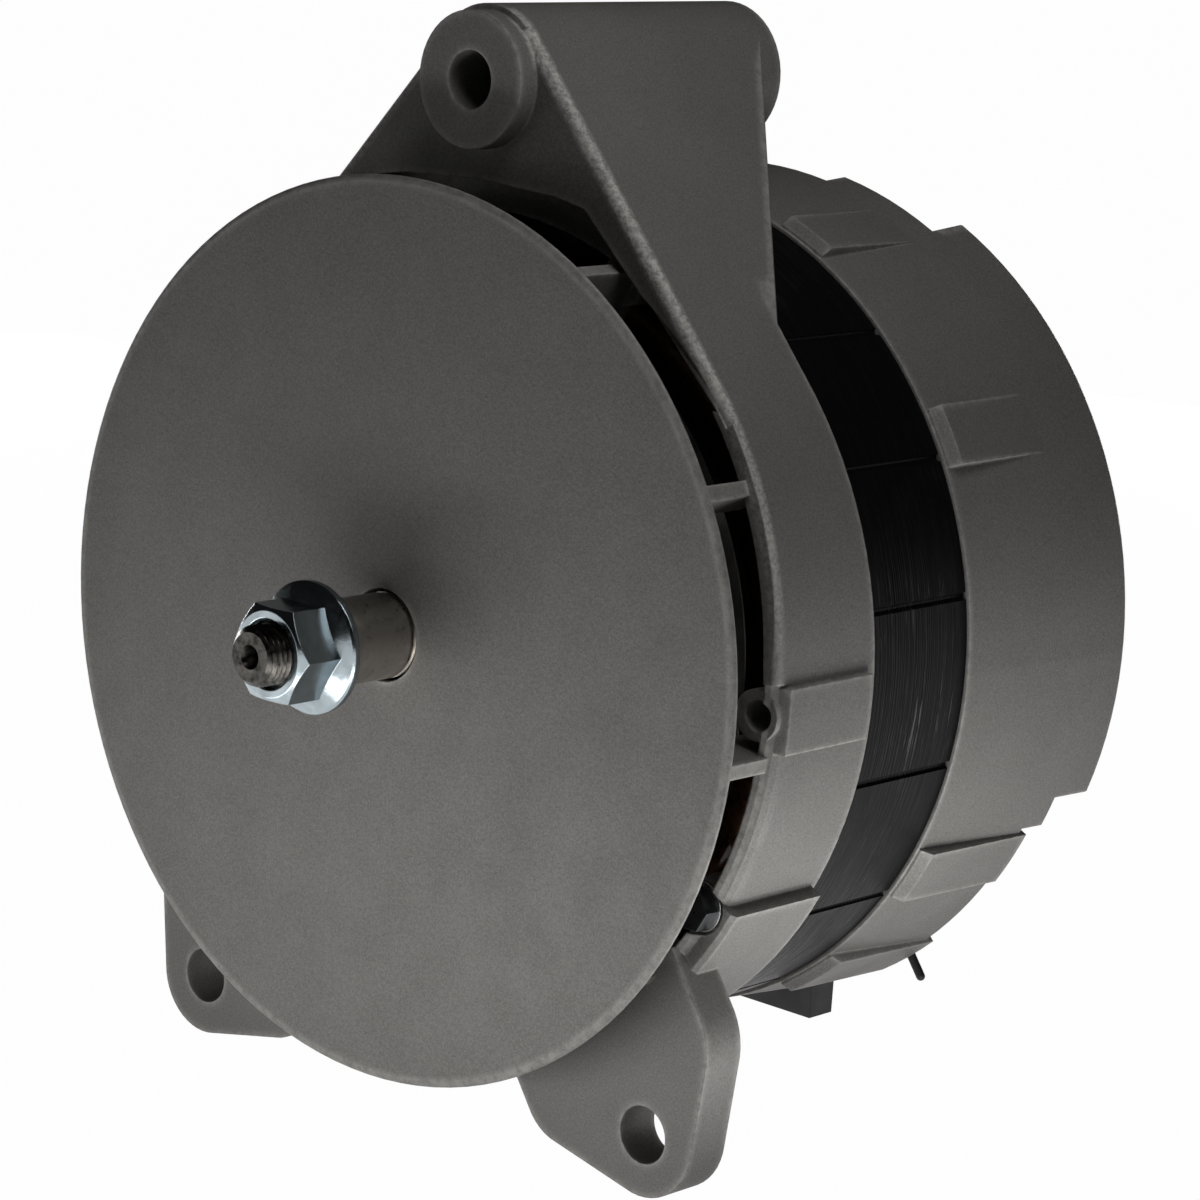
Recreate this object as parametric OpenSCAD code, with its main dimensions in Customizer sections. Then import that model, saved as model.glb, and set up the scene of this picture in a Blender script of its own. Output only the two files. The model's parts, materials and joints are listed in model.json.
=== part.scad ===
// Engine alternator with a plain front plate, a hinge spool on top and two ears below.
// The shaft runs along Y with the pulley end at -Y, and +Z points up to the hinge.
// The origin is on the shaft's axis at the inner end of the pulley seat.

/* [Shaft and nut] */
// Diameter of the pulley seat and of the front bearing journal
shaft_d = 17; // [15:0.5:18]
// Length of the pulley seat in front of the plate
seat_len = 18.5; // [10:0.5:60]
// Distance from the seat's inner end to the front plate's face
seat_stand = 0.5; // [0.3:0.1:3]
// Diameter of the thread on the shaft's nose
thread_d = 12; // [8:1:14]
// Length of the threaded nose
thread_len = 16.5; // [13:0.5:30]
// Diameter of the shaft inside the rotor
core_seat_d = 20; // [18.5:0.5:24]
// Distance across the shaft nut's flats
nut_af = 18; // [17:0.5:24]
// Diameter of the nut's flange
nut_flange_d = 26; // [24:0.5:32]
// Height of the nut with its flange
nut_h = 12; // [9:0.5:13]

/* [Drive end] */
// Diameter of the front plate
plate_d = 180; // [176:1:200]
// Thickness of the front plate
plate_t = 4; // [3:0.5:6]
// Width of the air outlet between the plate and the ring
outlet_w = 13; // [9:0.5:18]
// Outside diameter of the stator and of the drive-end ring
body_d = 171; // [168:1:180]
// Wall of the drive-end ring
ring_wall = 3.2; // [2.8:0.2:5]
// Length of the drive-end ring along the shaft
ring_len = 29.3; // [27:0.1:36]
// Number of ribs that carry the plate
rib_count = 10; // [6:1:12]
// Thickness of a rib
rib_t = 3; // [2:0.5:5]
// Depth of a rib along the radius
rib_depth = 11; // [8:0.5:13]

/* [Hinge spool] */
// Height of the hinge bore above the shaft
hinge_h = 107.9; // [104:0.1:120]
// Length of the hinge spool, three inches between the bracket's ears
spool_len = 76.4; // [70:0.1:90]
// Setback of the spool's front face from the plate's face
spool_setback = 15; // [10:0.5:18]
// Outside diameter of the spool
spool_d = 29.2; // [26:0.2:34]
// Diameter of the spool's turned front boss
boss_d = 26.8; // [22:0.2:26.8]
// Diameter of the hinge bore and of the holes in the ears
hole_d = 11.5; // [9:0.1:13]
// Wall of the hinge web
web_wall = 7; // [5:0.5:9]
// Setback of the web's front face behind the spool's front
web_setback = 4.7; // [3:0.1:8]

/* [Lower ears] */
// Distance of an ear's hole from the shaft
ear_reach = 108; // [104:0.5:118]
// Angle of each ear from straight down
ear_angle = 35; // [31:0.5:37]
// Thickness of an ear
ear_t = 10; // [8:0.5:14]
// Radius of the ear round its hole
ear_pad_r = 12.4; // [10:0.1:15]

/* [Stator] */
// Length of the laminated core
stator_len = 29; // [26:0.5:36]
// Bore of the laminated core
stator_bore = 120; // [118:1:122]
// Number of winding slots
slot_count = 36; // [24:6:36]
// Depth of a slot below its lips
slot_depth = 12; // [9:0.5:13]
// Width of a slot
slot_w = 5.4; // [4:0.1:6]
// Height of the end turns outside the core
turn_h = 12; // [8:0.5:12.5]

/* [Rotor] */
// Clearance between the rotor and the stator's bore
air_gap = 0.5; // [0.3:0.05:1]
// Number of claws on each pole piece
claw_count = 6; // [5:1:7]
// Length of the two pole pieces with the core between them
rotor_len = 64.4; // [60:0.2:66]
// Thickness of a pole piece's plate
pole_t = 12; // [9:0.5:14]
// Half width of a claw at its root
claw_root = 15; // [12:0.5:16]
// Half width of a claw at its tip
claw_tip = 6; // [4:0.5:8]
// Diameter of the rotor's core
core_d = 52; // [44:1:56]
// Diameter of the slip rings
slip_d = 28; // [27:0.5:30]
// Width of each slip ring
slip_w = 3.5; // [3:0.1:5]

/* [Fan] */
// Diameter across the fan's blades
fan_d = 140; // [120:1:142]
// Number of fan blades
blade_count = 11; // [7:1:15]
// Thickness of the fan's sheet
fan_t = 2; // [1.5:0.1:2.4]

/* [Rear end] */
// Wall of the rear housing
rear_wall = 3.2; // [2.8:0.2:5]
// Height of the low step on the rear face
low_step = 6; // [4:0.5:8]
// Height of the rectifier chambers on the rear face
chamber_h = 16; // [14:0.5:22]
// Distance of each chamber from the upright centre plane
chamber_x = 40.6; // [39:0.2:44]
// Depth of each chamber's floor below the shaft
chamber_z = 30.8; // [28:0.2:33]
// Width of the regulator block
regulator_w = 57.4; // [52:0.2:60]
// Thickness of the regulator block
regulator_t = 7.5; // [6:0.5:11]
// Reach of the regulator block below the shaft
regulator_reach = 91.8; // [89:0.2:98]
// Diameter of the output stud
output_d = 8; // [6:1:8]
// Length of the output stud behind the chamber
output_len = 22; // [18:1:30]
// Diameter of the ground stud
ground_d = 6; // [5:1:8]
// Length of the ground stud behind the chamber
ground_len = 16; // [12:1:24]

/* [Fasteners] */
// Diameter of the through bolts
bolt_d = 5; // [4:0.5:5.5]
// Circle of the through bolts around the shaft
bolt_circle = 161.6; // [161:0.2:163]
// Angle of the lower through bolts from straight up
lower_bolt_angle = 120.6; // [119.5:0.1:121.5]
// Angle of the upper through bolts from straight up
upper_bolt_angle = 24.5; // [23:0.1:26]

/* [Hidden] */
$fn = 96;

// Clearances
seat_gap = 0.02;
running_gap = 0.05;
bolt_gap = 0.25;
slide_gap = 0.1;
fan_gap = 3.5;
shaft_clear = 0.7;
flank_inset = 0.02;

// Radii of the main turned pieces
shaft_r = shaft_d / 2;
thread_r = thread_d / 2;
core_seat_r = core_seat_d / 2;
plate_r = plate_d / 2;
body_r = body_d / 2;
ring_in_r = body_r - ring_wall;
bore_r = stator_bore / 2;
rotor_r = bore_r - air_gap;
core_r = core_d / 2;
slip_r = slip_d / 2;
fan_r = fan_d / 2;
spool_r = spool_d / 2;
boss_r = boss_d / 2;
hole_r = hole_d / 2;
bolt_r = bolt_d / 2;
bolt_circle_r = bolt_circle / 2;

// Front bearing, a standard 17 x 47 x 14
front_od_r = 23.5;
front_w = 14;
front_ball_r = 4.35;
front_balls = 7;
// Rear bearing, a standard 15 x 35 x 11
rear_bore_r = 7.5;
rear_od_r = 17.5;
rear_w = 11;
rear_ball_r = 3;
rear_balls = 8;
race_wall_share = 0.62;
front_pitch = (shaft_r + front_od_r) / 2;
rear_pitch = (rear_bore_r + rear_od_r) / 2;
cage_half = 1.2;
cage_rim = 0.9;
shield_t = 0.6;
shield_inset = 0.8;

// Stations along the shaft
plate_front = seat_stand;
plate_rear = plate_front + plate_t;
ring_front = plate_rear + outlet_w;
ring_rear = ring_front + ring_len;
stator_rear = ring_rear + stator_len;
stator_mid = (ring_rear + stator_rear) / 2;
front_bearing_y = plate_rear + 2;
hub_rear = front_bearing_y + front_w;
rotor_front = stator_mid - rotor_len / 2;
rotor_rear = stator_mid + rotor_len / 2;
fan_rear = rotor_front;
fan_front = fan_rear - fan_t;
slip_front = rotor_rear + 2;
slip_space = 2;
second_slip = slip_front + slip_w + slip_space;
slip_end = second_slip + slip_w;
wall_in = slip_end + 1;
wall_out = wall_in + rear_wall;
rear_bearing_y = wall_in + 1.5;
rear_bearing_end = rear_bearing_y + rear_w;
hub_cap_t = 3;
low_step_y = wall_out + low_step;
chamber_y = wall_out + chamber_h;
chamber_in_y = chamber_y - rear_wall;

// Bearing hubs
hub_wall = 12.5;
hub_r = front_od_r + hub_wall;
hub_flare = 4;
retainer_t = 2;
screw_r = 2;
screw_head_r = 3.5;
screw_head_h = 2;
retainer_screw_circle = front_od_r + 7;
retainer_screw_depth = 8;
rear_hub_wall = 5;
rear_hub_r = rear_od_r + rear_hub_wall;

// Rotor
claw_root_t = 14;
claw_root_in = rotor_r - claw_root_t;
claw_tip_in = rotor_r - 5;
bobbin_r = claw_root_in - 1.5;
bobbin_t = 2;
lead_circle = core_r + 1.5;
lead_wire_r = 0.6;
lead_hole_r = 0.9;

// Web and ears
spool_front = plate_front + spool_setback;
web_front = spool_front + web_setback;
spool_rear = spool_front + spool_len;
web_round = 2;
web_foot = 10.5;
web_front_wall = 8;
stator_clear = 1;
web_tangent = acos((body_r - spool_r) / hinge_h);
web_slope = 0.82;
mouth_depth = 6;
mouth_top = body_r + 3;
mouth_half = 27.5;
mouth_lap = 1.5;
ear_front = ring_front - 1;
ear_at = at(180 - ear_angle, ear_reach);
ear_shoulder = at(173.7 - ear_angle, body_r + 7.6);
ear_shoulder_r = 15;
ear_heel = at(189.1 - ear_angle, body_r + 9.5);
ear_heel_r = 11;
ear_root_r = 8;
ear_outer_root = at(167.5 - ear_angle, body_r - 6.4);
ear_inner_root = at(193 - ear_angle, body_r - 5.5);

// Ring details
rim_round = 1;
edge_round = 1.5;
ring_slope_z = 9;
low_edge_round = 5;
low_edge_angle = 86.5;
first_rib_angle = 25.2;
rib_cover = 1.6;
side_hole_angle = 91;
side_hole_r = 3.1;
side_hole_depth = 16;
side_boss = [87, 95.5];
side_boss_rise = 1.2;
low_band = [118, 150];
low_band_rise = 2.8;
band_inset = 2;
column_r = 5;
spot_r = 5.6;
spot_depth = 3;

// Rear housing details
rear_front_r = body_r + 0.7;
rear_r = body_r + 4.5;
rear_in_r = rear_front_r - rear_wall;
rear_round = 2.5;
room_round = 1.5;
corner_crossing = 0.1;
rear_draft = (rear_r - rear_front_r) / (chamber_y - rear_round - stator_rear);
step_x = 16.8;
step_z = 37.2;
pad_rise = 2.4;
pad_edge = 0.6;
pad_bevel = 2;
pad_setback = 0.5;
pad_tail = 0.7;
pad_tail_gap = 0.5;
pad_sink = 0.1;
upper_pads = [[20.6, 28.5], [54.6, 62.7]];
lower_pads = [[115.5, 124], [138, 148]];
vent_count = 7;
vent_pitch = 13;
vent_w = 5;
vent_low = 9;
vent_top = 13;
vent_turn = 14;

// Sense terminal at the lower edge
pin_angle = 143.5;
pin_r = 0.95;
pin_root = rear_in_r - 4;
pin_end = body_r + 9.5;
pin_y = wall_out + 1.6;
pin_boss_r = 3.5;

// Brush gear below the slip rings
brush_rows = [slip_front + slip_w / 2, second_slip + slip_w / 2];
slip_ring_t = 2;
brush_t = slip_w - 0.3;
brush_w = 8;
brush_len = 14;
spring_len = 12;
spring_wire_r = 0.35;
spring_r = 1.15;
spring_turns = 6;
brush_top = slip_r + slide_gap;
brush_low = brush_top + brush_len;
holder_low = brush_low + spring_len;
holder_floor = 3;
holder_wall = 4;
holder_front = slip_front - 1;
holder_half = brush_w / 2 + holder_wall;
window_gap = 0.5;

// Regulator block
regulator_head_r = screw_head_r + 0.5;
regulator_screw_edge = 6.5;
regulator_screw_rise = 20;
regulator_screw_at = [regulator_w / 2 - regulator_screw_edge, regulator_screw_rise - regulator_reach];
regulator_fins = 7;
fin_edge = 8;
fin_h = 3;
fin_t = 2;
fin_gap = 1.5;

// Rectifier
sink_t = 4;
sink_gap = 2;
sink_y = chamber_in_y - 10;
diode_r = 6.35;
diode_circle = 68;
diode_angles = [52, 73, 94];
diode_front = 3;
lead_r = 1.2;
lead_stub = 4;
sink_screw_angles = [63, 83];
sink_screw_circle = 58;
spacer_r = 4.5;
terminal_x = 53;
terminal_z = -12;
stud_head_h = 3;
stud_hex_rise = 5;
stud_washer_t = 1.2;
shank_rise = 0.25;
output_r = output_d / 2;
ground_r = ground_d / 2;
bush_wall = 2.5;
bush_flange_t = 2;
bush_flange_r = output_r + 6;
washer_t = 1;
washer_r = bolt_d;
bolt_tail = 4;
upper_bolt_reach = 13;
bolt_end_gap = 1;

// Weld grooves along the outside of the laminated core
weld_angles = [42, 61, 79.5, 102.5, 124, 147];
weld_r = 0.8;

// Place in the X-Z plane at an angle from straight up, turning to +X
function at(angle, radius) = [radius * sin(angle), radius * cos(angle)];
// Points of an arc about a centre, counter-clockwise from a0 to a1
function arc(centre, radius, a0, a1, steps = 5) =
  [for (i = [0:steps]) centre + radius * [cos(a0 + (a1 - a0) * i / steps), sin(a0 + (a1 - a0) * i / steps)]];

// Flat outline in X-Z pushed along Y
module slab(y0, y1) {
  translate([0, y1, 0]) rotate([90, 0, 0]) linear_extrude(y1 - y0) children();
}
// Round bar along Y
module bar(radius, y0, y1, place = [0, 0]) {
  translate([place.x, y0, place.y]) rotate([-90, 0, 0]) cylinder(r = radius, h = y1 - y0);
}
// Hexagonal bar along Y
module hex_bar(across, y0, y1, place = [0, 0]) {
  translate([place.x, y0, place.y]) rotate([-90, 0, 0])
    cylinder(r = across / 2 / cos(30), h = y1 - y0, $fn = 6);
}
// Round tube along Y
module tube(outer, inner, y0, y1, place = [0, 0]) {
  difference() {
    bar(outer, y0, y1, place);
    bar(inner, y0 - 1, y1 + 1, place);
  }
}
// Turned piece from a profile of radius and Y
module turned(profile) {
  rotate([-90, 0, 0]) rotate_extrude() polygon(profile);
}
// Part of a turned piece between two angles from straight up
module turned_part(a0, a1, profile) {
  rotate([-90, 0, 0]) rotate([0, 0, a0 - 90]) rotate_extrude(angle = a1 - a0) polygon(profile);
}
// The piece and its mirror image on the other side of the upright centre plane
module both_sides() {
  children();
  mirror([1, 0, 0]) children();
}
// Two circles joined by straight flanks just inside their outer tangents
module link(p, rp, q, rq) {
  d = norm(q - p);
  base = atan2(q.y - p.y, q.x - p.x);
  t = acos((rp - rq) / d);
  p_reach = rp - flank_inset;
  q_reach = rq - flank_inset;
  translate(p) circle(rp);
  translate(q) circle(rq);
  polygon([
    p + p_reach * [cos(base + t), sin(base + t)],
    q + q_reach * [cos(base + t), sin(base + t)],
    q + q_reach * [cos(base - t), sin(base - t)],
    p + p_reach * [cos(base - t), sin(base - t)]
  ]);
}

// Outline of the hinge web, drawn in by a margin
module web_outline(margin) {
  link([0, hinge_h], spool_r - margin, [0, 0], body_r - margin);
}
// Block that rounds the web's front edge on the +X flank
module web_edge_cutter() {
  start = at(web_tangent, spool_r) + [0, hinge_h];
  flank = norm(at(web_tangent, body_r) - start);
  translate([start.x, web_front, start.y]) rotate([0, 90 + web_tangent, 0])
    translate([0, 0, -2]) linear_extrude(flank + 8) difference() {
      translate([-1, -1]) square([1 + web_round, 1 + web_round]);
      translate([web_round, web_round]) circle(web_round);
    }
}
// Cast web that carries the hinge spool on the ring
module hinge_web() {
  reach = hinge_h + spool_r;
  rear_at_top = ring_rear + web_slope * (reach - body_r * cos(web_tangent) - web_foot);
  low = body_r * cos(web_tangent);
  difference() {
    intersection() {
      slab(web_front, spool_rear) difference() {
        web_outline(0);
        circle(ring_in_r + ring_wall / 2);
        translate([-body_r - 1, -body_r - 1]) square([2 * body_r + 2, body_r + 1 + low]);
      }
      rotate([90, 0, 90]) translate([0, 0, -body_r]) linear_extrude(2 * body_r)
        polygon([
          [web_front - 1, low - 1],
          [ring_rear, low - 1],
          [ring_rear, low + web_foot],
          [rear_at_top, reach],
          [rear_at_top, reach + 1],
          [web_front - 1, reach + 1]
        ]);
    }
    bar(body_r + stator_clear, ring_rear, spool_rear + 1);
    slab(web_front + web_front_wall, spool_rear + 1) difference() {
      web_outline(web_wall);
      circle(body_r);
    }
  }
}
// Opening in the web's front over the air outlet
module web_mouth() {
  side = at(web_tangent + mouth_lap, ring_in_r + 1);
  slab(ring_front - 1, web_front + mouth_depth) polygon([
    [-side.x, side.y], [-mouth_half, mouth_top - 2.3], [-mouth_half + 7.5, mouth_top - 1],
    [0, mouth_top], [mouth_half - 7.5, mouth_top - 1], [mouth_half, mouth_top - 2.3],
    [side.x, side.y], [0, side.y - 4]
  ]);
}
// Outline of one lower ear with its root on the ring
module ear_outline() {
  link(ear_at, ear_pad_r, ear_shoulder, ear_shoulder_r);
  link(ear_at, ear_pad_r, ear_heel, ear_heel_r);
  link(ear_shoulder, ear_shoulder_r, ear_outer_root, ear_root_r);
  link(ear_heel, ear_heel_r, ear_inner_root, ear_root_r);
  polygon([ear_at, ear_shoulder, ear_outer_root, ear_inner_root, ear_heel]);
}
module lower_ear() {
  difference() {
    slab(ear_front, ear_front + ear_t) difference() {
      ear_outline();
      circle(ring_in_r);
    }
    bar(hole_r, ear_front - 1, ear_front + ear_t + 1, ear_at);
  }
}
// Front plate with its rounded rim and the bearing hub behind it
module front_plate() {
  turned(concat(
    [[shaft_r + shaft_clear, plate_front]],
    arc([plate_r - rim_round, plate_front + rim_round], rim_round, -90, 0),
    arc([plate_r - rim_round, plate_rear - rim_round], rim_round, 0, 90),
    [[hub_r + hub_flare, plate_rear], [hub_r, plate_rear + hub_flare - 1], [hub_r, hub_rear],
     [front_od_r + seat_gap, hub_rear], [front_od_r + seat_gap, front_bearing_y],
     [front_od_r - 4, front_bearing_y], [front_od_r - 4, plate_rear],
     [shaft_r + shaft_clear, plate_rear]]
  ));
}
// Thin ribs between the plate and the ring
module plate_ribs() {
  for (i = [0:rib_count - 1])
    slab(plate_rear - 1, web_front + mouth_depth + 2)
      rotate(-(first_rib_angle + i * 360 / rib_count))
        translate([-rib_t / 2, ring_in_r + rib_cover - rib_depth]) square([rib_t, rib_depth]);
}
// Ring that clamps the stator, with its bands and bolt columns
module drive_ring() {
  difference() {
    turned(concat(
      [[ring_in_r, ring_front]],
      arc([body_r - edge_round, ring_front + edge_round], edge_round, -90, 0),
      [[body_r, ring_rear], [ring_in_r, ring_rear]]
    ));
    slope = (web_front - ring_front) / (body_r * cos(web_tangent) + 0.5 - ring_slope_z);
    rotate([90, 0, 90]) translate([0, 0, -body_r - 1]) linear_extrude(2 * body_r + 2)
      polygon([[ring_front, ring_slope_z], [ring_front - 1, ring_slope_z], [ring_front - 1, body_r + 1],
               [ring_front + slope * (body_r + 1 - ring_slope_z), body_r + 1]]);
    turned_part(low_edge_angle, 360 - low_edge_angle, concat(
      arc([body_r - low_edge_round, ring_front + low_edge_round], low_edge_round, -90, 0),
      [[body_r + 1, ring_front + low_edge_round], [body_r + 1, ring_front - 1],
       [body_r - low_edge_round, ring_front - 1]]
    ));
  }
  both_sides() {
    turned_part(low_band[0], low_band[1], [
      [body_r - 1, ring_front + band_inset], [body_r + low_band_rise - 1, ring_front + band_inset],
      [body_r + low_band_rise, ring_front + band_inset + 1], [body_r + low_band_rise, ring_rear - 1.3],
      [body_r - 1, ring_rear - 1.3]
    ]);
    turned_part(side_boss[0], side_boss[1], [
      [body_r - 1, ring_front + band_inset], [body_r + side_boss_rise, ring_front + band_inset + 1],
      [body_r + side_boss_rise, ring_rear - 2], [body_r - 1, ring_rear - 2]
    ]);
    bar(column_r, ring_front + 1, ring_rear, at(lower_bolt_angle, bolt_circle_r - 0.5));
    bar(column_r, ring_front + 1, ring_rear, at(side_hole_angle, bolt_circle_r - 0.5));
    bar(column_r, web_front + mouth_depth, ring_rear, at(upper_bolt_angle, bolt_circle_r - 0.5));
  }
}
module drive_end_housing() {
  color("dimgray") difference() {
    union() {
      front_plate();
      difference() {
        union() {
          plate_ribs();
          drive_ring();
          hinge_web();
        }
        web_mouth();
        both_sides() web_edge_cutter();
      }
      plate_ribs();
      bar(boss_r, spool_front, web_front + web_front_wall, [0, hinge_h]);
      bar(spool_r, web_front + web_front_wall - 1, spool_rear, [0, hinge_h]);
      both_sides() lower_ear();
    }
    bar(hole_r, spool_front - 1, spool_rear + 1, [0, hinge_h]);
    both_sides() {
      bar(bolt_r + bolt_gap, ring_front, ring_rear + 1, at(lower_bolt_angle, bolt_circle_r));
      bar(spot_r, ring_front - 1.5, ring_front + spot_depth, at(lower_bolt_angle, bolt_circle_r));
      bar(side_hole_r, ring_front - 1.5, ring_front + side_hole_depth, at(side_hole_angle, bolt_circle_r));
      bar(bolt_r + seat_gap, ring_rear - upper_bolt_reach - bolt_end_gap, ring_rear + 1,
        at(upper_bolt_angle, bolt_circle_r));
    }
    for (i = [0:3])
      bar(screw_r + seat_gap, hub_rear - retainer_screw_depth, hub_rear + 1,
        at(45 + i * 90, retainer_screw_circle));
  }
}

// Laminated core with its winding slots, weld grooves and bolt holes
module stator_core() {
  color("#1c1c1e") slab(ring_rear, stator_rear) difference() {
    circle(body_r);
    circle(bore_r);
    for (i = [0:slot_count - 1]) rotate(i * 360 / slot_count) {
      translate([-slot_w / 2, bore_r + 1.5]) square([slot_w, slot_depth]);
      translate([-slot_w / 4, bore_r - 1]) square([slot_w / 2, 3]);
    }
    for (a = weld_angles, side = [-1, 1]) translate(at(side * a, body_r)) circle(weld_r, $fn = 24);
    for (a = [lower_bolt_angle, upper_bolt_angle], side = [-1, 1])
      translate(at(side * a, bolt_circle_r)) circle(bolt_r + bolt_gap, $fn = 32);
  }
}
// Coil sides in the slots, joined by the end turns
module stator_windings() {
  liner = 0.25;
  low = bore_r + 1.5 + liner;
  high = bore_r + 1.5 + slot_depth - liner;
  round_r = 3;
  color("#7a4522") {
    slab(ring_rear - 1, stator_rear + 1) for (i = [0:slot_count - 1]) rotate(i * 360 / slot_count)
      translate([-slot_w / 2 + liner, low]) square([slot_w - 2 * liner, high - low]);
    for (side = [0, 1]) translate([0, side * 2 * stator_mid, 0]) mirror([0, side, 0])
      turned(concat(
        [[high, ring_rear - 0.5]],
        arc([high - round_r, ring_rear - turn_h + round_r], round_r, 0, -90),
        arc([low + round_r, ring_rear - turn_h + round_r], round_r, -90, -180),
        [[low, ring_rear - 0.5]]
      ));
  }
}

// Outline of the rectifier chamber on the +X side, drawn in by a margin
module chamber_outline(margin) {
  corner = 6;
  translate([chamber_x + margin + corner, -chamber_z + margin + corner]) circle(corner, $fn = 48);
  translate([chamber_x + margin + corner, -chamber_z + margin]) square([rear_r, rear_r + chamber_z]);
  translate([chamber_x + margin, -chamber_z + margin + corner]) square([rear_r, rear_r + chamber_z]);
}
// Outline of the low step around the chamber
module step_outline(margin) {
  corner = 4;
  translate([step_x + margin + corner, -step_z + margin + corner]) circle(corner, $fn = 48);
  translate([step_x + margin + corner, -step_z + margin]) square([rear_r, rear_r + step_z]);
  translate([step_x + margin, -step_z + margin + corner]) square([rear_r, rear_r + step_z]);
}
// Outside radius of the tapered rear housing at a station
function rear_at(y) = rear_front_r + rear_draft * (y - stator_rear);
// Outline of a tapered cup with a rounded rear corner, drawn in by a margin
function cup_corner(margin, corner, end, over = 0) =
  arc([rear_at(end - corner) - margin - corner + over, end - corner], corner, 0, 90);
// Room beyond a lower rear face, with the face's rounded corner
module above_face(margin, corner, end) {
  turned(concat(
    [[rear_r + 2, chamber_y + 1], [rear_r + 2, end - corner]],
    cup_corner(margin, corner, end, corner_crossing),
    [[0, end], [0, chamber_y + 1]]
  ));
}
// Stepped cup of the rear housing, drawn in by a margin
module rear_form(margin, front, corner) {
  difference() {
    turned(concat(
      [[0, front], [rear_at(front) - margin, front]],
      cup_corner(margin, corner, chamber_y - margin),
      [[0, chamber_y - margin]]
    ));
    difference() {
      above_face(margin, corner, low_step_y - margin);
      both_sides() slab(stator_rear, chamber_y + 2) chamber_outline(margin);
    }
    difference() {
      above_face(margin, corner, wall_out - margin);
      both_sides() slab(stator_rear, chamber_y + 2) step_outline(margin);
    }
  }
}
// Raised pad that sinks towards the housing's taper
module side_pad(arc_range, tail, end) {
  front = stator_rear + pad_setback;
  top = rear_front_r + pad_rise;
  turned_part(arc_range[0], arc_range[1], [
    [rear_in_r + 1, front], [rear_front_r + pad_edge, front], [top, front + pad_bevel],
    [max(top, rear_at(end) + tail), end], [rear_in_r + 1, end]
  ]);
}
// Slots that let the cooling air in through the flat wall
module wall_vents() {
  for (i = [-1:1]) rotate(i * vent_turn)
    translate([-vent_w / 2, rear_hub_r + vent_low])
      square([vent_w, rear_in_r - rear_hub_r - vent_low - vent_top]);
}
// Slots in the chamber's rear face
module chamber_vents() {
  intersection() {
    for (i = [0:vent_count - 1])
      translate([chamber_x, -chamber_z + 12 + i * vent_pitch]) square([rear_r, vent_w]);
    difference() {
      circle(rear_in_r - 6);
      circle(sink_screw_circle + 5);
    }
  }
}
module rear_housing() {
  nut_seat = at(lower_bolt_angle, bolt_circle_r);
  color("dimgray") difference() {
    union() {
      difference() {
        union() {
          rear_form(0, stator_rear, rear_round);
          both_sides() {
            for (pad = upper_pads) side_pad(pad, -pad_sink, wall_out - rear_round - pad_tail_gap);
            for (pad = lower_pads) side_pad(pad, pad_tail, wall_out - pad_tail_gap);
          }
        }
        rear_form(rear_wall, stator_rear - 1, room_round);
      }
      bar(rear_hub_r, wall_in, rear_bearing_end + hub_cap_t);
      bar(pin_boss_r, wall_out - 1, pin_y + pin_r + 1, at(pin_angle, pin_root + 1));
      both_sides() {
        bar(column_r, stator_rear, wall_in + 1, nut_seat);
        bar(column_r, stator_rear, low_step_y - 1, at(upper_bolt_angle, bolt_circle_r));
      }
    }
    bar(rear_od_r + seat_gap, wall_in - 1, rear_bearing_end);
    slab(wall_in - 1, wall_out + 1) {
      wall_vents();
      window = holder_half + window_gap;
      translate([-window, -holder_low - holder_floor - window_gap])
        square([2 * window, holder_low + holder_floor - rear_hub_r - 1]);
    }
    both_sides() {
      slab(chamber_in_y - 1, chamber_y + 1) chamber_vents();
      bar(bolt_r + bolt_gap, stator_rear - 1, wall_out + 1, nut_seat);
      bar(spot_r, wall_out, low_step_y + 1, nut_seat);
      bar(bolt_r + bolt_gap, stator_rear - 1, low_step_y + 1, at(upper_bolt_angle, bolt_circle_r));
      for (a = sink_screw_angles)
        bar(screw_r + seat_gap, chamber_in_y - 1, chamber_y - 0.8, at(a, sink_screw_circle));
      bar(screw_r + seat_gap, wall_in - 1, wall_out + 1, regulator_screw_at);
    }
    bar(output_r + shank_rise + bush_wall + seat_gap, chamber_in_y - 1, chamber_y + 1,
      [terminal_x, terminal_z]);
    bar(ground_r + shank_rise + seat_gap, chamber_in_y - 1, chamber_y + 1, [-terminal_x, terminal_z]);
    radial_pin(pin_r + seat_gap, pin_root - 1, pin_end);
  }
}

// Ring of a ball bearing between two radii, with the balls' groove
module race(inner, outer, pitch, ball, y0, width) {
  difference() {
    tube(outer, inner, y0, y0 + width);
    translate([0, y0 + width / 2, 0]) rotate([-90, 0, 0]) rotate_extrude()
      translate([pitch, 0]) circle(ball + running_gap, $fn = 48);
  }
}
// Ring of balls
module balls(count, pitch, ball, y0, width) {
  for (i = [0:count - 1])
    translate([at(i * 360 / count, pitch).x, y0 + width / 2, at(i * 360 / count, pitch).y])
      sphere(ball, $fn = 32);
}
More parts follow.
